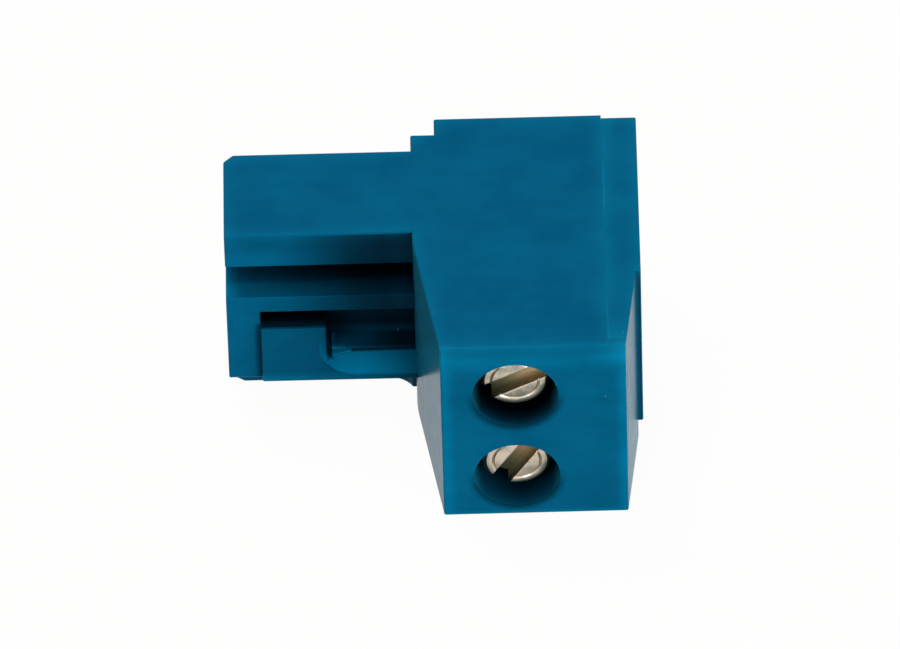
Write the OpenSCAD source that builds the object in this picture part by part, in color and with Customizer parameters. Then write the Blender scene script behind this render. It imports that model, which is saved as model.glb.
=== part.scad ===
// Pluggable screw terminal with two poles, wires opposite the plug nose.
// X runs from the plug nose to the wire side, the screws face -Y, and the part lies on its lower end face.
// Heights h are measured from the back of the body towards the screw face.

/* [Poles] */
// Distance between the two pole axes
pitch = 5.08; // [5:0.02:6]
// End wall beside the lower clamp chamber
wall_low = 0.6; // [0.5:0.05:1.2]
// End wall beside the upper clamp chamber
wall_high = 1.18; // [0.8:0.02:1.8]

/* [Clamping body] */
// Body length from the plug side to the outer wire side
body_l = 10.2; // [10:0.05:12]
// Wall behind the clamp chambers
back_wall = 1.5; // [1.3:0.05:2.4]
// Wall between the clamp chamber and the screw seat
seat_wall = 0.85; // [0.6:0.05:1.6]
// Length of the back step beside the nose
step_l = 1.07; // [0.5:0.05:1.2]
// How far the screw face stands in from the plug side
face_in_plug = 1.13; // [0.6:0.05:1.3]
// How far the screw face stands in from the wire side wall
face_in_wire = 0.56; // [0.3:0.02:0.9]
// Height of the slope on the plug side
slope_plug_h = 6.8; // [4:0.1:7]
// Height of the slope on the wire side
slope_wire_h = 4.64; // [3:0.02:6]
// Radius that blends the plug side into its slope
slope_r = 6; // [2:0.5:10]

/* [Plug nose] */
// Length of the nose in front of the body
nose_l = 8.44; // [8:0.02:10]
// Thickness of the nose at the upper end face
nose_h = 5.2; // [4.9:0.05:6]
// Wall between the contact socket and the back of the nose
nose_wall = 0.55; // [0.4:0.05:0.9]
// Wall between the contact socket and the low floor
floor_wall = 0.65; // [0.5:0.05:1]
// Front wall with the pin windows
front_wall = 0.7; // [0.5:0.05:1.2]
// Lead-in chamfer along the tip
tip_chamfer = 0.42; // [0.2:0.02:0.6]
// Radius of the fillet between the low floor and the body
root_r = 1.3; // [0.6:0.1:2]

/* [Coding ridge] */
// Height of the ridge above the upper floor
ridge_h = 0.9; // [0.5:0.05:1.2]
// Width of the open coding groove above the ridge
groove_w = 1.05; // [0.6:0.05:1.2]
// Depth of the coding groove below the upper floor
groove_d = 1.4; // [0.8:0.05:1.5]
// Width of the rail between the groove and the slot
rail_w = 0.95; // [0.7:0.05:1.3]
// Width of the stopped coding slot
slot_w = 0.7; // [0.5:0.05:0.9]
// Depth of the stopped coding slot
slot_d = 1.6; // [0.8:0.05:2]
// Height of the raised pad on the ridge
pad_h = 0.3; // [0.15:0.05:0.5]
// Distance from the tip to the pad and the slot
pad_setback = 1.52; // [1:0.02:2.5]
// Radius of the round-nosed pocket where it meets the pad
pocket_r = 1.75; // [0.8:0.05:1.8]
// Depth of the pocket below the pad
pocket_d = 0.9; // [0.5:0.05:1.2]
// Straight length of the pocket in front of the body
pocket_l = 2.6; // [2:0.1:4]
// How far the pocket lies above the middle of the pad
pocket_set = 0.3; // [0:0.05:0.4]
// Length of the notch between the pocket and the slot
notch_l = 4; // [3:0.1:4.5]
// Width of the notch below the slot
notch_w = 2.3; // [1.5:0.05:2.6]
// Corner radius of the notch
notch_r = 0.4; // [0.2:0.05:0.6]

/* [Contact sockets] */
// Width of a contact socket along the pole row
socket_w = 3; // [2.6:0.05:3.4]
// Height of a contact socket
socket_h = 2.7; // [2.5:0.05:2.9]
// Side of a square pin window
window = 1.6; // [1.3:0.05:2]
// Widening of the pin window at the tip
window_flare = 0.35; // [0.1:0.05:0.5]

/* [Clamp screw] */
// Distance from the screw axes to the outer wire side
screw_set = 5.75; // [5.2:0.05:5.9]
// Diameter of the screw access bore
access_d = 3.83; // [3.5:0.01:4.2]
// Diameter of the screw head
head_d = 3.06; // [2.9:0.02:3.3]
// Height of the screw head
head_h = 2; // [1.6:0.05:2.6]
// Depth of the head below the screw face
recess = 0.925; // [0.5:0.025:1.5]
// Outer diameter of the thread
thread_d = 2.5; // [2:0.1:2.6]
// Chamfer round the rim of the head
rim_chamfer = 0.16; // [0.1:0.02:0.4]
// Distance between the rim chamfer and the turned ring
ring_set = 0.3; // [0.1:0.02:0.4]
// Width of the driver slot
driver_w = 0.9; // [0.6:0.05:1]
// Depth of the driver slot
driver_d = 0.9; // [0.6:0.05:1.1]
// Angle of the driver slot in the lower screw
turn_1 = 57; // [0:1:179]
// Angle of the driver slot in the upper screw
turn_2 = 28; // [0:1:179]

/* [Clamp cage] */
// Outer length of the cage along the wire
cage_l = 5; // [4:0.1:5.4]
// Outer width of the cage along the pole row
cage_w = 3.6; // [3.5:0.02:3.9]
// Side wall of the cage
cage_side = 0.5; // [0.4:0.02:0.6]
// Floor of the cage, which presses on the wire
cage_floor = 0.7; // [0.5:0.05:1]
// Threaded top of the cage
cage_top = 1.8; // [1.4:0.05:2.4]
// Clear height for the wire with the clamp open
wire_gap = 2.95; // [2.9:0.05:3.6]
// Travel of the cage between open and closed
travel = 2.5; // [2:0.1:2.8]
// Corner chamfer of the cage
cage_chamfer = 0.35; // [0.1:0.05:0.5]

/* [Contact] */
// Thickness of the contact strip inside the cage
strip_t = 0.5; // [0.4:0.05:0.7]
// Width of the contact
contact_w = 2.2; // [1.6:0.05:2.3]
// Thickness of the two spring leaves
leaf_t = 0.35; // [0.25:0.05:0.4]
// Free gap between the spring leaves where they meet the pin
pin_gap = 0.85; // [0.6:0.05:0.95]
// Distance from the tip of the nose to the open ends of the leaves
leaf_tip = 1.1; // [0.9:0.05:1.5]
// Distance from the open ends of the leaves to their narrowest place
leaf_dip = 1.5; // [1.2:0.05:2]
// How far the ends of the leaves stand in from the socket walls
leaf_set = 0.3; // [0.25:0.02:0.4]

/* [Wire cover] */
// Thickness of the cover plate
cover_t = 1.35; // [1.2:0.05:1.5]
// How far the outer pad of the cover stands proud
cover_pad = 0.23; // [0.15:0.01:0.35]
// Height of the housing rim above the cover
cover_rim = 0.5; // [0.4:0.05:0.9]
// How far the cover stops short of the back
cover_back = 0.2; // [0.1:0.05:0.4]
// Distance from the lower end face to the outer pad
pad_edge = 1.05; // [0.9:0.05:1.6]
// Diameter of the wire throat
throat_d = 2.6; // [2.2:0.05:2.8]
// Diameter of the wire funnel at its mouth
funnel_d = 4.3; // [3.8:0.05:4.5]
// Depth of the wire funnel
funnel_l = 0.9; // [0.5:0.05:1]
// Length of the tongue that holds the cover
tongue_l = 1.1; // [0.6:0.1:1.3]
// Thickness of the tongue
tongue_t = 0.6; // [0.4:0.05:0.7]

/* [Clearances] */
// Play of the cage in its chamber, each side
cage_play = 0.07; // [0.05:0.01:0.12]
// Radial play of the screw in the cage and the seat
screw_play = 0.04; // [0.02:0.01:0.08]
// Play under the screw head and under the screw tip
end_play = 0.05; // [0.03:0.01:0.08]
// Joint between the cover and the housing
joint = 0.03; // [0.02:0.01:0.06]

/* [Hidden] */
$fn = 64;
cut = 0.5;
over = 1;

// Places along the pole row
chamber_w = cage_w + 2 * cage_play;
pole_z = [wall_low + chamber_w / 2, wall_low + chamber_w / 2 + pitch];
width = pole_z[1] + chamber_w / 2 + wall_high;
partition_z = (pole_z[0] + pole_z[1]) / 2;

// Heights of the clamp, from the back of the body to the screw face
cage_clear = 0.225;
thread_clear = 0.2;
travel_clear = 0.5;
cage_h0 = back_wall + cage_clear;
wire_h = cage_h0 + cage_floor + wire_gap / 2;
strip_h = wire_h + wire_gap / 2;
cage_top_h = strip_h + strip_t + thread_clear;
cage_h1 = cage_top_h + cage_top;
chamber_h1 = cage_h1 + travel + travel_clear;
seat_h = chamber_h1 + seat_wall;
head_h0 = seat_h + end_play;
head_h1 = head_h0 + head_h;
body_h = head_h1 + recess;
tip_h = strip_h + strip_t + end_play;

// Heights of the nose
socket_h0 = wire_h - socket_h / 2;
socket_h1 = wire_h + socket_h / 2;
nose_h0 = socket_h0 - nose_wall;
nose_h1 = nose_h0 + nose_h;
floor_h = socket_h1 + floor_wall;
ridge_h1 = nose_h1 + ridge_h;
pad_h1 = ridge_h1 + pad_h;

// Places of the ridge, which spans the two pole axes
slot_z1 = pole_z[1] - rail_w;
slot_z0 = slot_z1 - slot_w;
pad_x = pad_setback - nose_l;
slot_floor = ridge_h1 - slot_d;
scoop_r = (pocket_r * pocket_r + pocket_d * pocket_d) / (2 * pocket_d);

// Places along X, from the plug side of the body
screw_x = body_l - screw_set;
end_clear = 0.65;
chamber_x = screw_x - cage_l / 2 - end_clear;
wall_x = body_l - cover_pad;
cover_x = wall_x - cover_t;
face_x0 = face_in_plug;
face_x1 = wall_x - face_in_wire;
cover_h1 = body_h - cover_rim;
slope_a = atan(face_in_plug / slope_plug_h);
slope_h0 = body_h - slope_plug_h;
pad_edge_h = body_h - slope_wire_h;
root_x = chamber_x - 0.7;

// The origin is the middle of the lower end face
mid_x = (body_l - nose_l) / 2;
mid_h = body_h / 2;

function at(x, h) = [x - mid_x, mid_h - h];
function row(h, z) = [mid_h - h, z];
function wire_side_x(h) = wall_x - face_in_wire * (h - pad_edge_h) / slope_wire_h;

// Solid of the side profile, between two places along the pole row
module across(z0, z1, points) {
  translate([0, 0, z0]) linear_extrude(z1 - z0) polygon(points);
}

// Solid of a section across the nose, between two places along X
module along(x0, x1, points) {
  translate([x0 - mid_x, 0, 0]) rotate([90, 0, 90]) linear_extrude(x1 - x0) polygon(points);
}

module block(x0, x1, h0, h1, z0, z1) {
  translate([x0 - mid_x, mid_h - h1, z0]) cube([x1 - x0, h1 - h0, z1 - z0]);
}

// Places its child with +Z turned towards the screw face
module screwwards(x, h, z) {
  translate([x - mid_x, mid_h - h, z]) rotate([90, 0, 0]) children();
}

// Places its child with +Z turned towards the wire side
module wirewards(x, h, z) {
  translate([x - mid_x, mid_h - h, z]) rotate([0, 90, 0]) children();
}

module body_block() {
  bend = slope_r * tan(slope_a / 2);
  slope_bend = [
    for (i = [0:4])
      at(slope_r - slope_r * cos(slope_a * i / 4), slope_h0 - bend + slope_r * sin(slope_a * i / 4))
  ];
  across(0, width, concat(
    [at(0, nose_h0 / 2), at(step_l, nose_h0 / 2), at(step_l, 0), at(cover_x, 0)],
    [at(cover_x, cover_h1), at(wire_side_x(cover_h1), cover_h1), at(face_x1, body_h)],
    [at(face_x0, body_h)],
    [for (i = [4:-1:0]) slope_bend[i]]
  ));
  across(0, wall_low, [
    at(cover_x - cut, 0), at(wall_x, 0), at(wall_x, pad_edge_h),
    at(face_x1, body_h), at(cover_x - cut, body_h)
  ]);
}

// Nose with a low floor below the ridge and a higher floor above it
module nose_block() {
  along(-nose_l, cut, [
    row(nose_h0, 0), row(nose_h0, width), row(nose_h1, width),
    row(nose_h1, pole_z[1] + groove_w), row(nose_h1 - groove_d, pole_z[1] + groove_w),
    row(nose_h1 - groove_d, pole_z[1]), row(ridge_h1, pole_z[1]),
    row(ridge_h1, pole_z[0]), row(floor_h, pole_z[0]), row(floor_h, 0)
  ]);
  block(pad_x, cut, ridge_h1 - cut, pad_h1, pole_z[0], slot_z0);
  across(0, pole_z[0] + cut, concat(
    [at(cut, floor_h - cut), at(-root_r, floor_h - cut)],
    [for (i = [0:6]) at(-root_r * (1 - sin(10 * i)), floor_h + root_r * (1 - cos(10 * i)))],
    [at(cut, floor_h + root_r / 2)]
  ));
}

module nose_cuts() {
  across(-over, width + over, [
    at(-nose_l - over, nose_h0 - over), at(-nose_l + tip_chamfer + over, nose_h0 - over),
    at(-nose_l + tip_chamfer, nose_h0), at(-nose_l, nose_h0 + tip_chamfer),
    at(-nose_l - over, nose_h0 + tip_chamfer)
  ]);
  across(-over, pole_z[0], [
    at(-nose_l - over, floor_h + over), at(-nose_l + 1.5 * tip_chamfer, floor_h + over),
    at(-nose_l + 1.5 * tip_chamfer, floor_h), at(-nose_l, floor_h - tip_chamfer),
    at(-nose_l - over, floor_h - tip_chamfer)
  ]);
  block(pad_x, over, slot_floor, pad_h1 + over, slot_z0, slot_z1);
  notch();
  wirewards(-pocket_l, pad_h1 + scoop_r - pocket_d, (pole_z[0] + slot_z0) / 2 + pocket_set) {
    cylinder(h = pocket_l + over, r = scoop_r);
    sphere(r = scoop_r);
  }
}

// Notch as deep as the slot and open to it, with one round corner
module notch() {
  block(notch_r - notch_l, over, slot_floor, pad_h1 + over, slot_z0 - notch_w, slot_z0 + cut);
  block(-notch_l, over, slot_floor, pad_h1 + over, slot_z0 - notch_w + notch_r, slot_z0 + cut);
  screwwards(notch_r - notch_l, slot_floor, slot_z0 - notch_w + notch_r)
    cylinder(h = pad_h1 - slot_floor + over, r = notch_r);
}

// The cuts run on into the body, whose plug side then closes them
module nose() {
  difference() {
    nose_block();
    nose_cuts();
  }
}

// Room for the contact, the cage and the screw of one pole
module pole_cuts(z) {
  block(front_wall - nose_l, chamber_x + 0.1, socket_h0, socket_h1, z - socket_w / 2, z + socket_w / 2);
  block(root_x - 0.2, chamber_x + 0.1, socket_h0, strip_h + strip_t + 0.15, z - contact_w / 2 - 0.2,
    z + contact_w / 2 + 0.2);
  block(-nose_l - over, front_wall - nose_l + 0.1, wire_h - window / 2, wire_h + window / 2, z - window / 2,
    z + window / 2);
  wirewards(-nose_l - 0.01, wire_h, z)
    linear_extrude(height = window_flare + 0.01, scale = window / (window + 2 * window_flare))
      square(window + 2 * window_flare, center = true);
  block(chamber_x, cover_x + over, back_wall, chamber_h1, z - chamber_w / 2, z + chamber_w / 2);
  screwwards(screw_x, chamber_h1 - cut, z) cylinder(h = seat_wall + 2 * cut, d = thread_d + 2 * screw_play);
  screwwards(screw_x, seat_h, z) cylinder(h = body_h, d = access_d);
}

module tongue(grow) {
  block(cover_x - tongue_l - grow, cover_x + cut, wire_h - grow, chamber_h1 - 1 + grow,
    partition_z - tongue_t / 2 - grow, partition_z + tongue_t / 2 + grow);
}

module housing() {
  color([0.02, 0.36, 0.5]) difference() {
    union() {
      body_block();
      nose();
    }
    for (z = pole_z) pole_cuts(z);
    tongue(joint);
  }
}

module wire_cover() {
  top_h = cover_h1 - joint;
  color([0.02, 0.38, 0.53]) difference() {
    union() {
      across(wall_low + joint, width, [
        at(cover_x + joint, cover_back), at(wall_x, cover_back), at(wall_x, pad_edge_h),
        at(wire_side_x(top_h), top_h), at(cover_x + joint, top_h)
      ]);
      block(wall_x - cut, body_l, cover_back, pad_edge_h, pad_edge, width);
      tongue(0);
    }
    for (z = pole_z) {
      wirewards(cover_x - over, wire_h, z) cylinder(h = cover_t + 2 * over, d = throat_d);
      wirewards(body_l - funnel_l, wire_h, z)
        cylinder(h = funnel_l + 0.01, d1 = throat_d, d2 = funnel_d);
    }
  }
}

// One sheet part: a strip through the cage, and two spring leaves for the pin
module contact(z) {
  bar = root_x + 0.45;
  leaf = [
    [bar, socket_h / 2 - leaf_set], [2 - nose_l / 2, socket_h / 2 - leaf_set - 0.05],
    [leaf_tip + leaf_dip - nose_l, (pin_gap + leaf_t) / 2], [leaf_tip - nose_l, socket_h / 2 - leaf_set]
  ];
  color([0.8, 0.8, 0.78]) {
    block(root_x, screw_x + cage_l / 2 + end_clear, strip_h, strip_h + strip_t,
      z - contact_w / 2, z + contact_w / 2);
    block(root_x, bar, wire_h - socket_h / 2 + 0.125, strip_h + strip_t,
      z - contact_w / 2, z + contact_w / 2);
    for (side = [-1, 1])
      across(z - contact_w / 2, z + contact_w / 2, concat(
        [for (p = leaf) at(p[0], wire_h + side * (p[1] + leaf_t / 2))],
        [for (i = [3:-1:0]) at(leaf[i][0], wire_h + side * (leaf[i][1] - leaf_t / 2))]
      ));
  }
}

module contact_1() contact(pole_z[0]);
module contact_2() contact(pole_z[1]);

// Box of the rising clamp, open along the wire, with a grooved floor
module cage(z) {
  x0 = screw_x - cage_l / 2;
  half = cage_w / 2;
  floor_h1 = cage_h0 + cage_floor;
  color([0.72, 0.62, 0.35]) difference() {
    along(x0, x0 + cage_l, [
      row(cage_h0 + cage_chamfer, z - half), row(cage_h1 - cage_chamfer, z - half),
      row(cage_h1, z - half + cage_chamfer), row(cage_h1, z + half - cage_chamfer),
      row(cage_h1 - cage_chamfer, z + half), row(cage_h0 + cage_chamfer, z + half),
      row(cage_h0, z + half - cage_chamfer), row(cage_h0, z - half + cage_chamfer)
    ]);
    block(x0 - over, x0 + cage_l + over, floor_h1, cage_top_h, z - half + cage_side, z + half - cage_side);
    screwwards(screw_x, cage_top_h - over, z)
      cylinder(h = cage_top + 2 * over, d = thread_d + 2 * screw_play);
    for (i = [-2:2])
      across(z - half + cage_side, z + half - cage_side, [
        at(screw_x + 0.7 * i - 0.15, floor_h1 + 0.01), at(screw_x + 0.7 * i + 0.15, floor_h1 + 0.01),
        at(screw_x + 0.7 * i, floor_h1 - 0.15)
      ]);
  }
}

module cage_1() cage(pole_z[0]);
module cage_2() cage(pole_z[1]);

// Slotted screw, turned in one piece
module screw(z, turn) {
  head_r = head_d / 2;
  ring_r = head_r - rim_chamfer - ring_set;
  ring_cut = 0.06;
  neck_r = thread_d / 2 - 0.25;
  color([0.78, 0.77, 0.74]) difference() {
    screwwards(screw_x, tip_h, z) rotate_extrude() polygon([
      [0, 0], [thread_d / 2 - 0.3, 0], [thread_d / 2, 0.3],
      [thread_d / 2, head_h0 - tip_h - seat_wall - end_play],
      [neck_r, head_h0 - tip_h - seat_wall - end_play + 0.2], [neck_r, head_h0 - tip_h],
      [head_r, head_h0 - tip_h], [head_r, head_h1 - tip_h - rim_chamfer],
      [head_r - rim_chamfer, head_h1 - tip_h], [ring_r + ring_cut, head_h1 - tip_h],
      [ring_r, head_h1 - tip_h - ring_cut], [ring_r - ring_cut, head_h1 - tip_h], [0, head_h1 - tip_h]
    ]);
    screwwards(screw_x, head_h1 - driver_d, z) rotate([0, 0, turn])
      translate([-head_d, -driver_w / 2, 0]) cube([2 * head_d, driver_w, driver_d + over]);
  }
}

module screw_1() screw(pole_z[0], turn_1);
module screw_2() screw(pole_z[1], turn_2);

housing();
wire_cover();
contact_1();
contact_2();
cage_1();
cage_2();
screw_1();
screw_2();
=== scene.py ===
import bpy
import bmesh
import math
from mathutils import Matrix, Vector


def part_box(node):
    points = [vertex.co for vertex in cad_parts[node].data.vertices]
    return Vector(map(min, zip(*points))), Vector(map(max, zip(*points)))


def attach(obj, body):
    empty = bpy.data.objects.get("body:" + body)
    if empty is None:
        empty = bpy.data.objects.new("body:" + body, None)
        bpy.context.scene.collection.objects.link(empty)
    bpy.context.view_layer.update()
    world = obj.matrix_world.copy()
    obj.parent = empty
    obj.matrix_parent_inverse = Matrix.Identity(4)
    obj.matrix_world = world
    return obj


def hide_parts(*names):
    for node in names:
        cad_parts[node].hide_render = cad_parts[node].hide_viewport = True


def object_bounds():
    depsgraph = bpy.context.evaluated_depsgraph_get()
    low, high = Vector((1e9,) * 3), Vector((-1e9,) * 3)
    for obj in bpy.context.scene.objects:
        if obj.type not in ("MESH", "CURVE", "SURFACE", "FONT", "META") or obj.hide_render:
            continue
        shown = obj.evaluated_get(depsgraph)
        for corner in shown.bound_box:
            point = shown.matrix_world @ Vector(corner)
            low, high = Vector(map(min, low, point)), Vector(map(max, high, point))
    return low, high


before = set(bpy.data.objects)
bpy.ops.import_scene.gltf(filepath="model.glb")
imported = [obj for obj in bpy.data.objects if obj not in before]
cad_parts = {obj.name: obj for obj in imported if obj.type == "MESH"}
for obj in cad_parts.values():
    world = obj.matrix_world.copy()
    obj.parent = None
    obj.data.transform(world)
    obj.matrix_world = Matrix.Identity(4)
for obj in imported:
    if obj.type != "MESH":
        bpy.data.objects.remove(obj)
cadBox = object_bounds()
mm = 0.001

layout = {
    "noseLength": 8.44 * mm,
    "coverDepth": 1.55 * mm,
    "faceInset": (1.13 * mm, 0.79 * mm),
    "padDepth": 6.3 * mm,
}

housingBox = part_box("housing")
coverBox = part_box("wire_cover")
screwBox = {n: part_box(f"screw_{n}") for n in (1, 2)}
topZ = housingBox[1].z
frontY = housingBox[0].y
rootX = housingBox[0].x + layout["noseLength"]
coverPlane = coverBox[1].x - layout["coverDepth"]
faceX = (rootX + layout["faceInset"][0], coverBox[1].x - layout["faceInset"][1])
padY = frontY + layout["padDepth"]
print("frame loaded:", sorted(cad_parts))


def middle(box):
    return (box[0] + box[1]) / 2


screwMiddle = {n: middle(screwBox[n]) for n in (1, 2)}


def node(tree, kind, **values):
    made = tree.nodes.new("ShaderNode" + kind)
    for key, value in values.items():
        setattr(made, key, value)
    return made


def link(tree, a, b):
    tree.links.new(a, b)


def feed(tree, socket, value):
    if hasattr(value, "links"):
        link(tree, value, socket)
    elif isinstance(value, (int, float)):
        socket.default_value = value
    else:
        socket.default_value = (*value, 1)


def newMaterial(name):
    mat = bpy.data.materials.new(name)
    mat.use_nodes = True
    tree = mat.node_tree
    tree.nodes.clear()
    out = node(tree, "OutputMaterial")
    shader = node(tree, "BsdfPrincipled")
    link(tree, shader.outputs[0], out.inputs["Surface"])
    return mat, tree, shader


def maths(tree, operation, a, b=0.0, c=0.0, clamp=False):
    made = node(tree, "Math", operation=operation, use_clamp=clamp)
    for socket, value in zip(made.inputs, (a, b, c)):
        feed(tree, socket, value)
    return made.outputs[0]


def product(tree, first, *others):
    for other in others:
        first = maths(tree, "MULTIPLY", first, other)
    return first


def greatest(tree, first, *others):
    for other in others:
        first = maths(tree, "MAXIMUM", first, other)
    return first


def above(tree, value, low):
    return maths(tree, "GREATER_THAN", value, low)


def below(tree, value, high):
    return maths(tree, "LESS_THAN", value, high)


def within(tree, value, low, high):
    return product(tree, above(tree, value, low), below(tree, value, high))


def inverse(tree, value):
    return maths(tree, "SUBTRACT", 1.0, value)


# a factor that holds where the mask is one, and does nothing elsewhere
def masked(tree, mask, factor):
    return maths(tree, "MULTIPLY_ADD", mask, maths(tree, "SUBTRACT", factor, 1.0), 1.0)


def ramp(tree, value, low, high, start=0.0, end=1.0, smooth=True):
    kind = "SMOOTHSTEP" if smooth else "LINEAR"
    made = node(tree, "MapRange", interpolation_type=kind)
    for socket, number in zip(("From Min", "From Max", "To Min", "To Max"), (low, high, start, end)):
        made.inputs[socket].default_value = number
    link(tree, value, made.inputs["Value"])
    return made.outputs["Result"]


def span(tree, value, rise, fall):
    return product(tree, ramp(tree, value, *rise), ramp(tree, value, *fall, 1.0, 0.0))


def mixColour(tree, factor, a, b, blend="MIX"):
    made = node(tree, "Mix", data_type="RGBA", blend_type=blend)
    for socket, value in zip((made.inputs[0], made.inputs[6], made.inputs[7]), (factor, a, b)):
        feed(tree, socket, value)
    return made.outputs[2]


def times(tree, base, other):
    return mixColour(tree, 1.0, base, other, "MULTIPLY")


def tinted(tree, base, amount, colour):
    return times(tree, base, mixColour(tree, amount, (1, 1, 1), colour))


def split(tree, vector):
    parts = node(tree, "SeparateXYZ")
    link(tree, vector, parts.inputs[0])
    return parts.outputs[:3]


def radiusFrom(tree, x, z, centre):
    dx = maths(tree, "SUBTRACT", x, centre.x)
    dz = maths(tree, "SUBTRACT", z, centre.z)
    squares = maths(tree, "MULTIPLY_ADD", dx, dx, product(tree, dz, dz))
    return dx, dz, maths(tree, "SQRT", squares)


def noise(tree, coords, size, detail, roughness, stretch=(1, 1, 1)):
    mapped = node(tree, "Mapping")
    mapped.inputs["Scale"].default_value = stretch
    link(tree, coords, mapped.inputs["Vector"])
    made = node(tree, "TexNoise")
    made.inputs["Scale"].default_value = 1 / size
    made.inputs["Detail"].default_value = detail
    made.inputs["Roughness"].default_value = roughness
    link(tree, mapped.outputs[0], made.inputs["Vector"])
    return made.outputs["Fac"]


def bump(tree, height, distance, strength):
    made = node(tree, "Bump")
    made.inputs["Distance"].default_value = distance
    made.inputs["Strength"].default_value = strength
    link(tree, height, made.inputs["Height"])
    return made.outputs["Normal"]


def openness(tree, reach, inside):
    made = node(tree, "AmbientOcclusion", inside=inside, only_local=True, samples=8)
    made.inputs["Distance"].default_value = reach
    return made.outputs["AO"]


seamGlint = {
    "half": 0.06 * mm,
    "light": (0.0035, 0.185, 0.315),
    "patch": (0.5 * mm, 2, 0.5, (0, 1, 0)),
    "patchRange": (0.3, 0.6, 0.35, 1.0),
    "near": ((0.1 * mm, 0.4 * mm), (2.6 * mm, 3.6 * mm)),
    "nearAmount": 0.6,
    "far": ((8.0 * mm, 9.0 * mm), (10.8 * mm, 11.8 * mm)),
    "topReach": 0.2 * mm,
}


# the joint is a hairline, and a painted glint lightens it here and there near the top face
def paintSeamGlint(tree, coords, place, base):
    s = seamGlint
    x, y, z = place
    off = maths(tree, "ABSOLUTE", maths(tree, "SUBTRACT", x, coverPlane))
    foot = maths(tree, "ABSOLUTE", maths(tree, "SUBTRACT", y, coverBox[0].y))
    foot = maths(tree, "ADD", foot, below(tree, x, coverPlane))
    line = ramp(tree, maths(tree, "MINIMUM", off, foot), 0, s["half"], 1.0, 0.0)
    depth = maths(tree, "SUBTRACT", y, frontY)
    close = product(tree, span(tree, depth, *s["near"]), s["nearAmount"])
    patch = greatest(tree, close, span(tree, depth, *s["far"]))
    broken = ramp(tree, noise(tree, coords, *s["patch"]), *s["patchRange"])
    patch = product(tree, patch, broken)
    high = above(tree, z, topZ - s["topReach"])
    return mixColour(tree, product(tree, line, patch, high), base, s["light"])


wells = {
    "radius": 1.915 * mm,
    "play": 0.03 * mm,
    "depth": 3.3 * mm,
    "fade": {1: 2.6 * mm, 2: 0.42 * mm},
    "spill": 0.45 * mm,
    "spillShade": 0.66,
    "lowPart": (-0.9 * mm, 0.5 * mm),
    "lip": (0.003 * mm, 0.05 * mm),
    "lipShade": 0.72,
    "faceReach": (0.3 * mm, 0.6 * mm),
}


# painted shade: a well goes black with its depth, and its lower rim lies in soft painted shade
def wellShade(tree, place, n):
    s = wells
    depth = maths(tree, "SUBTRACT", place[1], frontY)
    dx, dz, radius = radiusFrom(tree, place[0], place[2], screwMiddle[n])
    inside = product(
        tree, below(tree, radius, s["radius"] + s["play"]), below(tree, depth, s["depth"])
    )
    fade = maths(tree, "DIVIDE", maths(tree, "MAXIMUM", depth, 0.0), -s["fade"][n])
    fade = maths(tree, "EXPONENT", fade)
    inner = inverse(tree, product(tree, inside, inverse(tree, fade)))
    low = ramp(tree, dz, *s["lowPart"], 1.0, 0.0)
    spill = ramp(tree, radius, s["radius"], s["radius"] + s["spill"], s["spillShade"], 0.0)
    outer = product(tree, spill, low, inverse(tree, inside))
    lip = product(tree, within(tree, radius, *(s["radius"] + r for r in s["lip"])), low)
    outer = greatest(tree, outer, product(tree, lip, s["lipShade"]))
    outer = product(tree, outer, ramp(tree, depth, *s["faceReach"], 1.0, 0.0))
    return product(tree, inner, inverse(tree, outer))


faceGlow = {
    "band": (0.5, 1.42, 1.36),
    "lift": (1.0, 1.10, 1.07),
    "reach": (0.05 * mm, 0.3 * mm),
    "bandRise": (1.7 * mm, 1.0 * mm),
    "bandFall": (0.85 * mm, 0.25 * mm),
    "bandAmount": 0.66,
    "borders": (0.75 * mm, 0.6 * mm),
    "borderAmount": 1.2,
    "borderFade": (0.9 * mm, 0.2 * mm),
    "borderLeast": 0.3,
    "foot": 0.4 * mm,
    "footAmount": 0.9,
}


# painted light: a glowing band, lighter borders, a lighter foot and a slight lift of the whole screw
# face, standing in for light that goes through the thin walls round it
def litFace(tree, place, base):
    s = faceGlow
    x, y, z = place
    onFace = ramp(tree, y, *(frontY + r for r in s["reach"]), 1.0, 0.0)
    rise, fall = ([topZ - r for r in s[key]] for key in ("bandRise", "bandFall"))
    band = product(tree, span(tree, z, rise, fall), s["bandAmount"])
    left, right = s["borders"]
    amount = s["borderAmount"]
    sides = greatest(
        tree,
        ramp(tree, x, faceX[0], faceX[0] + left, amount, 0.0),
        ramp(tree, x, faceX[1] - right, faceX[1], 0.0, amount),
    )
    fade = ramp(tree, z, *(topZ - r for r in s["borderFade"]), 1.0, s["borderLeast"])
    foot = ramp(tree, z, 0, s["foot"], s["footAmount"], 0.0)
    lit = greatest(tree, band, product(tree, sides, fade), foot)
    base = tinted(tree, base, product(tree, onFace, lit), s["band"])
    return tinted(tree, base, onFace, s["lift"])


scoopGlow = {
    "colour": (1.2, 2.55, 2.4),
    "length": 4.5 * mm,
    "past": 0.1 * mm,
    "rise": (0, 0.08 * mm),
    "fall": (0.95 * mm, 1.1 * mm),
    "wallZ": (3.52 * mm, 3.68 * mm),
    "endLength": 4.0 * mm,
    "endTop": 5.85 * mm,
    "endAmount": 1.3,
    "rootLength": 2.4 * mm,
    "rootAmount": 1.7,
    "padFoot": (1.0, 1.5, 1.4),
    "padReach": 0.02 * mm,
    "padZ": (2.6 * mm, 3.2 * mm),
}
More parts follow.
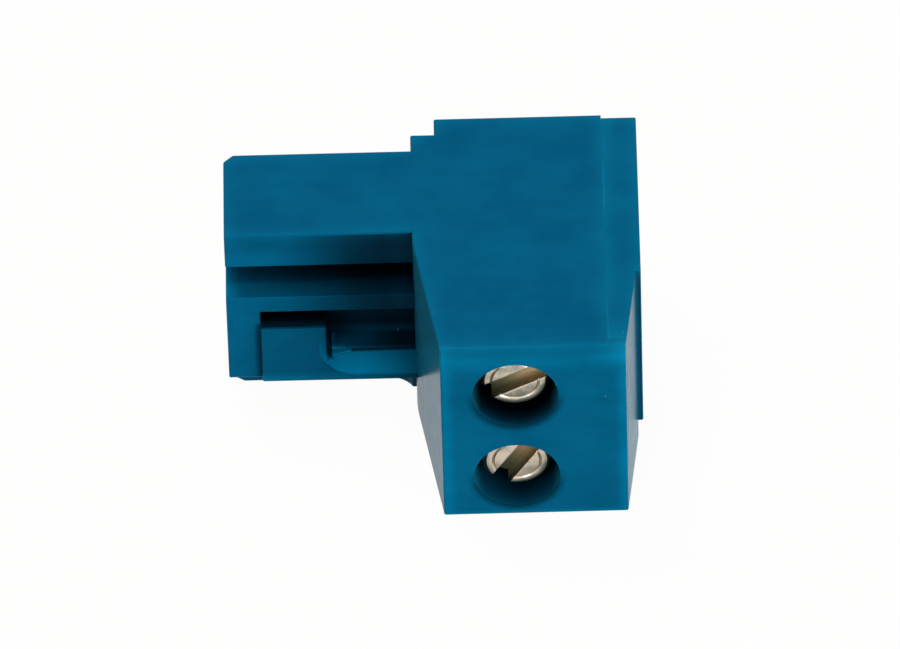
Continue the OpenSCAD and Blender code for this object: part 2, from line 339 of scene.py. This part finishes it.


# painted light: the scoop and the pad's foot are lightened as if they caught light from below
def litScoop(tree, place, base):
    s = scoopGlow
    x, y, z = place
    onNose = within(tree, x, rootX - s["length"], rootX + s["past"])
    deep = span(tree, y, *([padY + r for r in s[key]] for key in ("rise", "fall")))
    end = product(tree, below(tree, x, rootX - s["endLength"]), below(tree, z, s["endTop"]))
    part = greatest(tree, ramp(tree, z, *s["wallZ"], 1.0, 0.0), product(tree, end, s["endAmount"]))
    part = product(tree, part, ramp(tree, x, rootX - s["rootLength"], rootX, 1.0, s["rootAmount"]))
    base = tinted(tree, base, product(tree, onNose, deep, part), s["colour"])
    onPad = below(tree, y, padY + s["padReach"])
    onPad = product(tree, onPad, ramp(tree, z, *s["padZ"], 1.0, 0.0), below(tree, x, rootX))
    return tinted(tree, base, onPad, s["padFoot"])


nose = {
    "far": 1.18,
    "middle": 0.42,
    "root": 0.8,
    "fallX": (6.0 * mm, 2.2 * mm),
    "riseX": (1.5 * mm, 0.3 * mm),
    "endX": 0.005 * mm,
    "strip": (1.25, 0.78),
    "stripZ": (2.0 * mm, 0.4 * mm),
    "stripHeight": 2.05 * mm,
    "groove": 1.65,
    "grooveZ": 0.04 * mm,
    "grooveDepth": 0.38 * mm,
    "topEdge": 0.12 * mm,
    "padReach": 0.2 * mm,
    "aheadY": (2.65 * mm, 3.0 * mm),
    "scoopTop": 5.85 * mm,
    "scoopLength": 4.5 * mm,
    "padTop": 0.45,
    "padTopZ": (5.82 * mm, 5.98 * mm),
    "padLength": 6.9 * mm,
}


# painted shadow: the body keeps the light off the nose, more so towards its root; the strip gets
# painted light and shade, the groove wall painted light and the pad top painted shade
def noseShade(tree, place, ahead):
    s = nose
    x, y, z = place
    along = ramp(tree, x, *(rootX - r for r in s["fallX"]), s["far"], s["middle"])
    rise = ramp(tree, x, *(rootX - r for r in s["riseX"]), 1.0, s["root"] / s["middle"])
    strip = ramp(tree, z, *(topZ - r for r in s["stripZ"]), *s["strip"])
    strip = masked(tree, above(tree, z, topZ - s["stripHeight"]), strip)
    grooveZ = screwMiddle[2].z
    groove = product(
        tree, within(tree, z, grooveZ - s["grooveZ"], grooveZ + s["grooveZ"]),
        above(tree, y, padY + s["grooveDepth"]),
    )
    along = product(tree, along, rise, strip, masked(tree, groove, s["groove"]))
    inScoop = product(
        tree, below(tree, z, s["scoopTop"]), above(tree, x, rootX - s["scoopLength"])
    )
    where = product(
        tree, below(tree, z, topZ - s["topEdge"]), above(tree, y, padY + s["padReach"]),
        ahead, within(tree, x, housingBox[0].x + s["endX"], rootX), inverse(tree, inScoop),
    )
    onPadTop = product(
        tree, within(tree, z, *s["padTopZ"]),
        within(tree, x, rootX - s["padLength"], rootX), ahead,
    )
    return product(tree, masked(tree, where, along), masked(tree, onPadTop, s["padTop"]))


notch = {
    "length": 4.05 * mm,
    "heights": (3.56 * mm, 5.8 * mm),
    "depth": 0.85 * mm,
    "wall": (1.7, 3.6),
    "wallY": (0.9 * mm, 1.8 * mm),
    "corner": 3.0,
    "cornerX": (3.9 * mm, 2.9 * mm),
    "slope": (4.0, 0.8),
    "slopeX": (3.2 * mm, 0.9 * mm),
    "back": (2.6, 0.45),
    "backZ": (3.64 * mm, 4.3 * mm),
    "lip": 5.5,
    "lipStart": 0.02 * mm,
    "facingUp": 0.9,
}


# painted light: the notch's lower wall and its corner are lightened as if a little light came back
# from them; its back wall gets painted light below and painted shade above
def notchShade(tree, place, ahead):
    s = notch
    x, y, z = place
    wall = ramp(tree, y, *(padY + r for r in s["wallY"]), *s["wall"])
    corner = ramp(tree, x, *(rootX - r for r in s["cornerX"]), s["corner"], 1.0)
    slope = ramp(tree, x, *(rootX - r for r in s["slopeX"]), *s["slope"], False)
    wall = product(tree, wall, corner, slope)
    back = ramp(tree, z, *s["backZ"], *s["back"])
    normal = split(tree, node(tree, "NewGeometry").outputs["Normal"])
    onWall = above(tree, normal[2], s["facingUp"])
    onBack = product(tree, inverse(tree, onWall), back)
    lift = maths(tree, "ADD", product(tree, onWall, wall), onBack)
    inNotch = product(
        tree, within(tree, x, rootX - s["length"], rootX), within(tree, z, *s["heights"]),
        ahead, above(tree, y, padY + s["depth"]),
    )
    lip = product(
        tree, within(tree, x, rootX - s["length"], rootX - s["cornerX"][1]),
        within(tree, z, s["heights"][0], s["backZ"][0]), onWall,
        within(tree, y, padY + s["lipStart"], padY + s["depth"]),
    )
    return product(tree, masked(tree, inNotch, lift), masked(tree, lip, s["lip"]))


plastic = {
    "dark": (0.0004, 0.086, 0.178),
    "light": (0.0009, 0.112, 0.224),
    "edge": (0.0030, 0.190, 0.345),
    "edgeReach": 0.9 * mm,
    "edgeDepth": (1.5 * mm, 0.5 * mm),
    "edgePower": 1.4,
    "edgeGlow": 0.75,
    "shadeReach": 3.5 * mm,
    "shadePower": 2.0,
    "mottle": (2.6 * mm, 4, 0.6),
    "flow": (0.7 * mm, 3, 0.5, (0.35, 1, 1)),
    "grain": (0.05 * mm, 2, 0.5),
    "blend": (0.7, 0.3),
    "blendRange": (0.3, 0.7),
    "roughness": (0.32, 0.44),
    "polish": (0.5, 0.85, 0.0, 0.16),
    "gloss": (0.03, 0.018),
    "glossFacing": (0.38, 0.80),
    "glossTint": (0.05, 0.55, 1.0, 1),
    "paintedSheen": (0.012, 0.140, 0.220),
    "paintedSheenFacing": (0.55, 0.85),
    "dust": (0.35, 0.52, 0.60),
    "dustCell": 1.15 * mm,
    "dustSize": 0.028,
    "dustShare": 0.72,
    "dustAmount": 0.4,
    "bumpMix": (0.6, 0.4),
    "bumpHeight": 0.004 * mm,
    "bumpStrength": 0.6,
    "seedShift": (0.013, 0.007, 0.011),
}


def dusted(tree, coords, base):
    s = plastic
    specks = node(tree, "TexVoronoi", feature="F1")
    specks.inputs["Scale"].default_value = 1 / s["dustCell"]
    link(tree, coords, specks.inputs["Vector"])
    pick = node(tree, "SeparateColor")
    link(tree, specks.outputs["Color"], pick.inputs[0])
    small = below(tree, specks.outputs["Distance"], s["dustSize"])
    dusty = product(tree, small, above(tree, pick.outputs[0], s["dustShare"]), s["dustAmount"])
    return mixColour(tree, dusty, base, s["dust"])


def weighed(tree, pair, a, b):
    return maths(tree, "MULTIPLY_ADD", a, pair[0], product(tree, b, pair[1]))


def plasticMaterial(name, tint, seed):
    s = plastic
    mat, tree, shader = newMaterial(name)
    coords = node(tree, "TexCoord").outputs["Object"]
    place = split(tree, coords)
    moved = node(tree, "Mapping")
    moved.inputs["Location"].default_value = [seed * shift for shift in s["seedShift"]]
    link(tree, coords, moved.inputs["Vector"])
    mottle, flow, grain = (
        noise(tree, moved.outputs[0], *s[key]) for key in ("mottle", "flow", "grain")
    )
    blend = ramp(tree, weighed(tree, s["blend"], mottle, flow), *s["blendRange"])
    base = mixColour(tree, blend, s["dark"], s["light"])
    # painted glow: thin plastic is lightened along the edges of the upper face
    edge = maths(tree, "SUBTRACT", 1.0, openness(tree, s["edgeReach"], True), clamp=True)
    edge = product(tree, maths(tree, "POWER", edge, s["edgePower"]), s["edgeGlow"])
    upper = ramp(tree, place[2], *(topZ - r for r in s["edgeDepth"]))
    edge = maths(tree, "MULTIPLY", edge, upper, clamp=True)
    base = mixColour(tree, edge, base, s["edge"])
    # painted shade darkens the recesses of the moulding
    shade = maths(tree, "POWER", openness(tree, s["shadeReach"], False), s["shadePower"])
    base = times(tree, times(tree, base, shade), tint)
    for n in (1, 2):
        base = times(tree, base, wellShade(tree, place, n))
    ahead = ramp(tree, place[1], *(padY + r for r in nose["aheadY"]), 1.0, 0.0)
    base = times(tree, base, noseShade(tree, place, ahead))
    base = times(tree, base, notchShade(tree, place, ahead))
    base = litScoop(tree, place, litFace(tree, place, base))
    facing = node(tree, "LayerWeight").outputs["Facing"]
    # painted sheen: the colour turns a greyer blue where the surface is seen at a grazing angle
    paintedSheen = product(tree, ramp(tree, facing, *s["paintedSheenFacing"]), shade)
    base = mixColour(tree, paintedSheen, base, s["paintedSheen"])
    base = dusted(tree, moved.outputs[0], paintSeamGlint(tree, coords, place, base))
    link(tree, base, shader.inputs["Base Color"])
    rough = ramp(tree, flow, 0, 1, *s["roughness"], False)
    rough = maths(tree, "SUBTRACT", rough, ramp(tree, facing, *s["polish"]))
    link(tree, rough, shader.inputs["Roughness"])
    gloss = ramp(tree, facing, *s["glossFacing"], *s["gloss"])
    link(tree, gloss, shader.inputs["Specular IOR Level"])
    shader.inputs["Specular Tint"].default_value = s["glossTint"]
    height = weighed(tree, s["bumpMix"], grain, flow)
    link(tree, bump(tree, height, s["bumpHeight"], s["bumpStrength"]), shader.inputs["Normal"])
    return mat


turned = {
    "clean": (0.66, 0.56, 0.44),
    "worn": (0.34, 0.34, 0.27),
    "rim": (0.12, 0.16, 0.13),
    "slot": (0.50, 0.35, 0.17),
    "slotShade": (0.075, 0.075, 0.022),
    "stain": (0.6 * mm, 4, 0.65),
    "stainRange": (0.42, 0.66),
    "fine": (0.08 * mm, 3, 0.6),
    "fineAmount": 0.5,
    "lean": (0.8, 0.6),
    "leanRange": (-1.1 * mm, 0.7 * mm),
    "rimRadius": (1.15 * mm, 1.35 * mm),
    "rimLean": 0.45,
    "rimRange": (0.2 * mm, 1.0 * mm),
    "shadeReach": 1.6 * mm,
    "shadeMix": (0.7, 0.3),
    "slotDepth": (0.06 * mm, 0.5 * mm),
    "roughness": (0.22, 0.46),
    "slotRoughness": 0.22,
    "ringPitch": 0.07 * mm,
    "ringHeight": 0.3,
    "stainHeight": 1.4,
    "bumpHeight": 0.010 * mm,
    "bumpStrength": 0.8,
}


def turnedMaterial(name, box):
    s = turned
    mat, tree, shader = newMaterial(name)
    coords = node(tree, "TexCoord").outputs["Object"]
    x, y, z = split(tree, coords)
    dx, dz, radius = radiusFrom(tree, x, z, middle(box))
    stain = noise(tree, coords, *s["stain"])
    fine = noise(tree, coords, *s["fine"])
    bright = mixColour(tree, ramp(tree, stain, *s["stainRange"]), s["clean"], s["worn"])
    # the slot is stained brown, and painted shade makes it darkest at its lower left end
    lean = ramp(tree, weighed(tree, s["lean"], dx, dz), *s["leanRange"])
    brown = mixColour(tree, lean, s["slotShade"], s["slot"])
    brown = mixColour(tree, product(tree, fine, s["fineAmount"]), brown, s["worn"])
    # painted shade: the head's rim is darkened to a greenish grey on its lower right side
    shadedSide = maths(tree, "SUBTRACT", product(tree, dx, s["rimLean"]), dz)
    rim = product(
        tree, ramp(tree, radius, *s["rimRadius"]), ramp(tree, shadedSide, *s["rimRange"])
    )
    bright = mixColour(tree, rim, bright, s["rim"])
    # painted shade darkens the screw where it is hemmed in
    shade = openness(tree, s["shadeReach"], False)
    bright = times(tree, bright, maths(tree, "MULTIPLY_ADD", shade, *s["shadeMix"]))
    inSlot = ramp(tree, maths(tree, "SUBTRACT", y, box[0].y), *s["slotDepth"])
    link(tree, mixColour(tree, inSlot, bright, brown), shader.inputs["Base Color"])
    shader.inputs["Metallic"].default_value = 1.0
    rough = ramp(tree, stain, 0, 1, *s["roughness"], False)
    rough = maths(tree, "MULTIPLY_ADD", inSlot, s["slotRoughness"], rough)
    link(tree, rough, shader.inputs["Roughness"])
    rings = maths(tree, "SINE", product(tree, radius, 2 * math.pi / s["ringPitch"]))
    height = maths(tree, "MULTIPLY_ADD", stain, s["stainHeight"], fine)
    height = maths(tree, "MULTIPLY_ADD", rings, s["ringHeight"], height)
    link(tree, bump(tree, height, s["bumpHeight"], s["bumpStrength"]), shader.inputs["Normal"])
    return mat


sheets = {
    "stain": (0.8 * mm, 4, 0.6),
    "stainRange": (0.3, 0.7),
    "brush": (0.12 * mm, 3, 0.6),
    "shadeReach": 1.5 * mm,
    "bumpHeight": 0.008 * mm,
    "bumpStrength": 0.5,
    "cageMetal": {
        "colours": ((0.66, 0.55, 0.34), (0.50, 0.40, 0.24)),
        "roughness": (0.25, 0.5),
        "streak": (1, 1, 0.1),
    },
    "contactMetal": {
        "colours": ((0.72, 0.71, 0.68), (0.55, 0.55, 0.53)),
        "roughness": (0.2, 0.4),
        "streak": (0.1, 1, 1),
    },
}


def sheetMaterial(name):
    s = sheets
    own = s[name]
    mat, tree, shader = newMaterial(name)
    coords = node(tree, "TexCoord").outputs["Object"]
    stain = noise(tree, coords, *s["stain"])
    brush = noise(tree, coords, *s["brush"], own["streak"])
    base = mixColour(tree, ramp(tree, stain, *s["stainRange"]), *own["colours"])
    # painted shade darkens the sheet where it is hemmed in
    base = times(tree, base, openness(tree, s["shadeReach"], False))
    link(tree, base, shader.inputs["Base Color"])
    shader.inputs["Metallic"].default_value = 1.0
    link(tree, ramp(tree, brush, 0, 1, *own["roughness"], False), shader.inputs["Roughness"])
    link(tree, bump(tree, brush, s["bumpHeight"], s["bumpStrength"]), shader.inputs["Normal"])
    return mat


meshing = {
    "merge": 0.002 * mm,
    "flat": math.radians(1),
    "keepSharp": math.radians(38),
    "cut": 0.0001 * mm,
    "weld": 0.001 * mm,
}


def solidCopy(source):
    bm = bmesh.new()
    bm.from_mesh(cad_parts[source].data)
    bmesh.ops.remove_doubles(bm, verts=bm.verts, dist=meshing["merge"])
    bmesh.ops.dissolve_limit(bm, angle_limit=meshing["flat"], verts=bm.verts, edges=bm.edges)
    bm.normal_update()
    return bm


def isCorner(edge, angle):
    return len(edge.link_faces) == 2 and edge.calc_face_angle() > angle


# each edge gets the first radius whose test its middle passes
def softPiece(bm, name, source, body, material, settings):
    radii = [radius for radius, test in settings["rounds"]]
    weight = bm.edges.layers.float.new("bevel_weight_edge")
    for e in bm.edges:
        if not isCorner(e, math.radians(settings["angle"])):
            continue
        at = (e.verts[0].co + e.verts[1].co) / 2
        convex = e.calc_face_angle_signed() > 0
        for radius, test in settings["rounds"]:
            if test(at, convex):
                e[weight] = radius / max(radii)
                break
    for f in bm.faces:
        f.smooth = True
    for e in bm.edges:
        e.smooth = not (isCorner(e, meshing["keepSharp"]) and e[weight] == 0)
    mesh = bpy.data.meshes.new(name)
    bm.to_mesh(mesh)
    bm.free()
    obj = bpy.data.objects.new(name, mesh)
    bpy.context.scene.collection.objects.link(obj)
    mesh.materials.append(material)
    soft = obj.modifiers.new("softEdges", "BEVEL")
    soft.limit_method = "WEIGHT"
    soft.width = max(radii)
    soft.segments = settings["segments"]
    soft.profile = 0.5
    soft.use_clamp_overlap = False
    even = obj.modifiers.new("evenShade", "WEIGHTED_NORMAL")
    even.keep_sharp = True
    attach(obj, body)
    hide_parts(source)
    return obj


def near(a, b, reach=0.01 * mm):
    return abs(a - b) < reach


def isConvex(at, convex):
    return convex


seamReach = 0.05 * mm


# the joint's own edges stay sharp, so that it closes to a hairline
def onSeam(at, convex):
    beside = at.x > coverPlane - seamReach
    ends = near(at.y, coverBox[0].y, seamReach) or near(at.z, coverBox[0].z, seamReach)
    return near(at.x, coverPlane, seamReach) or (beside and ends)


housingPlastic = plasticMaterial("housingPlastic", (1.0, 1.0, 1.0), 1)
coverPlastic = plasticMaterial("coverPlastic", (1.0, 1.07, 1.05), 5)
screwSteel = {n: turnedMaterial(f"turnedSteel{n}", screwBox[n]) for n in (1, 2)}
cageBrass = sheetMaterial("cageMetal")
contactTin = sheetMaterial("contactMetal")
print("materials made")

scoopRim = {"reach": 0.03 * mm, "heights": (2.6 * mm, 3.8 * mm)}
wellRim = {"ends": 0.3 * mm, "sides": (1.3 * mm, 0.8 * mm)}


def onScoopRim(at, convex):
    low, high = scoopRim["heights"]
    return near(at.y, padY, scoopRim["reach"]) and low < at.z < high


def onTopFront(at, convex):
    return convex and near(at.y, frontY) and near(at.z, topZ)


def onWellRim(at, convex):
    left, right = wellRim["sides"]
    between = wellRim["ends"] < at.z < topZ - wellRim["ends"]
    beside = rootX + left < at.x < housingBox[1].x - right
    return convex and near(at.y, frontY) and between and beside


def onEndFace(at, convex):
    return convex and (near(at.z, topZ) or near(at.z, 0))


housing = {
    "angle": 20,
    "segments": 4,
    "rounds": [
        (0.0, onSeam),
        (0.0, onScoopRim),
        (0.14 * mm, onTopFront),
        (0.04 * mm, onWellRim),
        (0.10 * mm, onEndFace),
        (0.07 * mm, isConvex),
    ],
}
softPiece(
    solidCopy("housing"), "housing_shell", "housing", "body",
    housingPlastic, housing,
)

cover = {
    "angle": 20,
    "segments": 3,
    "closeUp": 0.028 * mm,
    "rounds": [(0.0, onSeam), (0.08 * mm, isConvex)],
}


# the cover's joint faces move up to the housing, which leaves a hairline
def coverSolid():
    bm = solidCopy("wire_cover")
    for v in bm.verts:
        for axis, plane in enumerate((coverPlane, coverBox[0].y, coverBox[0].z)):
            if near(v.co[axis], plane):
                v.co[axis] -= cover["closeUp"]
    return bm


softPiece(
    coverSolid(), "cover_plate", "wire_cover", "body", coverPlastic, cover
)
print("plastic pieces made")

thread = {
    "pitch": 0.45 * mm,
    "crest": 1.245 * mm,
    "root": 0.985 * mm,
    "flanks": (1 / 8, 7 / 16, 11 / 16),
    "steps": 40,
    "neckEnd": 2.72 * mm,
    "neckLap": 0.02 * mm,
    "startRoom": 0.015 * mm,
    "rise": 0.25 * mm,
}


def cutAway(bm, y, way):
    made = bmesh.ops.bisect_plane(
        bm, geom=bm.verts[:] + bm.edges[:] + bm.faces[:], dist=meshing["cut"],
        plane_co=(0, y, 0), plane_no=(0, way, 0), clear_outer=True,
    )
    return [e for e in made["geom_cut"] if isinstance(e, bmesh.types.BMEdge)]


# one turn of the thread's section, swept along the screw
def threadedShank(bm, n):
    s = thread
    centre = screwMiddle[n]
    start, end = screwBox[n][0].y + s["neckEnd"], screwBox[n][1].y
    pitch = s["pitch"]
    crestEnd, rootStart, rootEnd = (pitch * part for part in s["flanks"])
    section = [
        (s["crest"], 0), (s["crest"], crestEnd), (s["root"], rootStart),
        (s["root"], rootEnd), (s["crest"], pitch),
    ]
    turns = math.ceil((end - start) / pitch) + 2
    verts = [bm.verts.new((centre.x + r, start - pitch + y, centre.z)) for r, y in section]
    edges = [bm.edges.new(pair) for pair in zip(verts, verts[1:])]
    bmesh.ops.spin(
        bm, geom=verts + edges, cent=(centre.x, 0, centre.z), axis=(0, 1, 0),
        dvec=(0, pitch / s["steps"], 0), angle=2 * math.pi * turns,
        steps=s["steps"] * turns, use_merge=False,
    )
    bmesh.ops.remove_doubles(bm, verts=bm.verts, dist=meshing["weld"])
    cutAway(bm, start, -1)
    cutAway(bm, end, 1)
    bmesh.ops.holes_fill(bm, edges=bm.edges, sides=0)
    # both ends of the thread run out in a chamfer
    for v in bm.verts:
        room = s["root"] + s["startRoom"] + (v.co.y - start)
        room = min(room, s["crest"] - s["rise"] + (end - v.co.y))
        across = Vector((v.co.x - centre.x, 0, v.co.z - centre.z))
        if across.length > room:
            across *= room / across.length
            v.co = Vector((centre.x + across.x, v.co.y, centre.z + across.z))
    bmesh.ops.recalc_face_normals(bm, faces=bm.faces)
    bm.normal_update()


def screwSolid(n):
    bm = solidCopy(f"screw_{n}")
    rim = cutAway(bm, screwBox[n][0].y + thread["neckEnd"] + thread["neckLap"], 1)
    bmesh.ops.holes_fill(bm, edges=rim, sides=0)
    shank = bmesh.new()
    threadedShank(shank, n)
    joined = bpy.data.meshes.new(f"shank{n}")
    shank.to_mesh(joined)
    shank.free()
    bm.from_mesh(joined)
    bpy.data.meshes.remove(joined)
    bm.normal_update()
    return bm


headEnd = frontY + 2.98 * mm


def onHead(at, convex):
    return convex and at.y < headEnd


screw = {"angle": 28, "segments": 3, "rounds": [(0.03 * mm, onHead)]}
cage = {"angle": 25, "segments": 2, "rounds": [(0.05 * mm, isConvex)]}
spring = {"angle": 20, "segments": 2, "rounds": [(0.04 * mm, isConvex)]}
for n in (1, 2):
    softPiece(
        screwSolid(n), f"clamp_screw_{n}", f"screw_{n}", f"screw_{n}",
        screwSteel[n], screw,
    )
    softPiece(
        solidCopy(f"cage_{n}"), f"clamp_cage_{n}", f"cage_{n}", f"cage_{n}",
        cageBrass, cage,
    )
    softPiece(
        solidCopy(f"contact_{n}"), f"contact_spring_{n}", f"contact_{n}", "body",
        contactTin, spring,
    )
print("metal pieces made")

stageSet = {
    "floorSize": 0.6,
    "show": 0.965,
    "paper": (0.9, 0.9, 0.9, 1),
    "glow": (1.0, 0.998, 0.994, 1),
    "bounce": (0.10, 0.10, 0.10, 1),
    "ambient": 0.02,
    "lampAngle": 26,
}

lamps = {
    "backLamp": (-150, 60, 1.42),
    "topLamp": (0, 86, 0.80),
    "rightLamp": (50, 8, 2.45),
    "frontLamp": (25, 8, 0.78),
    "leftLamp": (-35, 28, 0.90),
    "sideLamp": (-70, 20, 0.49),
}


def whiteRays(tree):
    path = node(tree, "LightPath")
    rays = ("Is Camera Ray", "Is Glossy Ray", "Is Transmission Ray")
    return greatest(tree, *(path.outputs[ray] for ray in rays))


def plainShader(tree, kind, colour):
    made = node(tree, kind)
    made.inputs["Color"].default_value = colour
    return made.outputs[0]


def mixShader(tree, factor, a, b):
    made = node(tree, "MixShader")
    feed(tree, made.inputs[0], factor)
    link(tree, a, made.inputs[1])
    link(tree, b, made.inputs[2])
    return made.outputs[0]


def makeFloor():
    s = stageSet
    bm = bmesh.new()
    bmesh.ops.create_grid(bm, x_segments=2, y_segments=2, size=s["floorSize"])
    mesh = bpy.data.meshes.new("floor")
    bm.to_mesh(mesh)
    bm.free()
    floor = bpy.data.objects.new("floor", mesh)
    bpy.context.scene.collection.objects.link(floor)
    mat = bpy.data.materials.new("paper")
    mat.use_nodes = True
    tree = mat.node_tree
    tree.nodes.clear()
    out = node(tree, "OutputMaterial")
    seen = plainShader(tree, "BsdfDiffuse", s["paper"])
    shown = mixShader(tree, s["show"], seen, plainShader(tree, "Emission", s["glow"]))
    plain = plainShader(tree, "BsdfDiffuse", s["bounce"])
    link(tree, mixShader(tree, whiteRays(tree), plain, shown), out.inputs["Surface"])
    mesh.materials.append(mat)


def makeWorld():
    world = bpy.data.worlds.new("room")
    bpy.context.scene.world = world
    world.use_nodes = True
    tree = world.node_tree
    tree.nodes.clear()
    out = node(tree, "OutputWorld")
    back = node(tree, "Background")
    back.inputs["Color"].default_value = (1, 1, 1, 1)
    strength = ramp(tree, whiteRays(tree), 0, 1, stageSet["ambient"], 1.0, False)
    link(tree, strength, back.inputs["Strength"])
    link(tree, back.outputs[0], out.inputs["Surface"])


def towards(azimuth, elevation):
    a, e = math.radians(azimuth), math.radians(elevation)
    return Vector((math.sin(a) * math.cos(e), -math.cos(a) * math.cos(e), math.sin(e)))


def sunLamp(name, azimuth, elevation, strength):
    data = bpy.data.lights.new(name, "SUN")
    data.energy = strength
    data.angle = math.radians(stageSet["lampAngle"])
    lamp = bpy.data.objects.new(name, data)
    bpy.context.scene.collection.objects.link(lamp)
    lamp.rotation_mode = "QUATERNION"
    lamp.rotation_quaternion = towards(azimuth, elevation).to_track_quat("Z", "Y")


makeFloor()
makeWorld()
for name, lamp in lamps.items():
    sunLamp(name, *lamp)

cameraSet = {
    "azimuth": 0.375,
    "elevation": 45.1,
    "roll": -1.724,
    "distance": 0.700,
    "sensor": 36,
    "lens": 621.5,
    "clip": (0.01, 10),
    "aside": 0.718 * mm,
    "down": 0.344 * mm,
}


def makeCamera():
    s = cameraSet
    data = bpy.data.cameras.new("camera")
    data.sensor_width = s["sensor"]
    data.lens = s["lens"]
    data.clip_start, data.clip_end = s["clip"]
    cam = bpy.data.objects.new("camera", data)
    bpy.context.scene.collection.objects.link(cam)
    back = towards(s["azimuth"], s["elevation"])
    right = Vector((0, 0, 1)).cross(back).normalized()
    up = back.cross(right)
    roll = math.radians(s["roll"])
    right, up = (
        right * math.cos(roll) + up * math.sin(roll),
        up * math.cos(roll) - right * math.sin(roll),
    )
    target = middle(cadBox) + right * s["aside"] - up * s["down"]
    turn = Matrix((right, up, back)).transposed()
    cam.matrix_world = Matrix.Translation(target + back * s["distance"]) @ turn.to_4x4()
    bpy.context.scene.camera = cam


makeCamera()
bpy.context.scene.view_settings.view_transform = "Standard"
print("stage made")
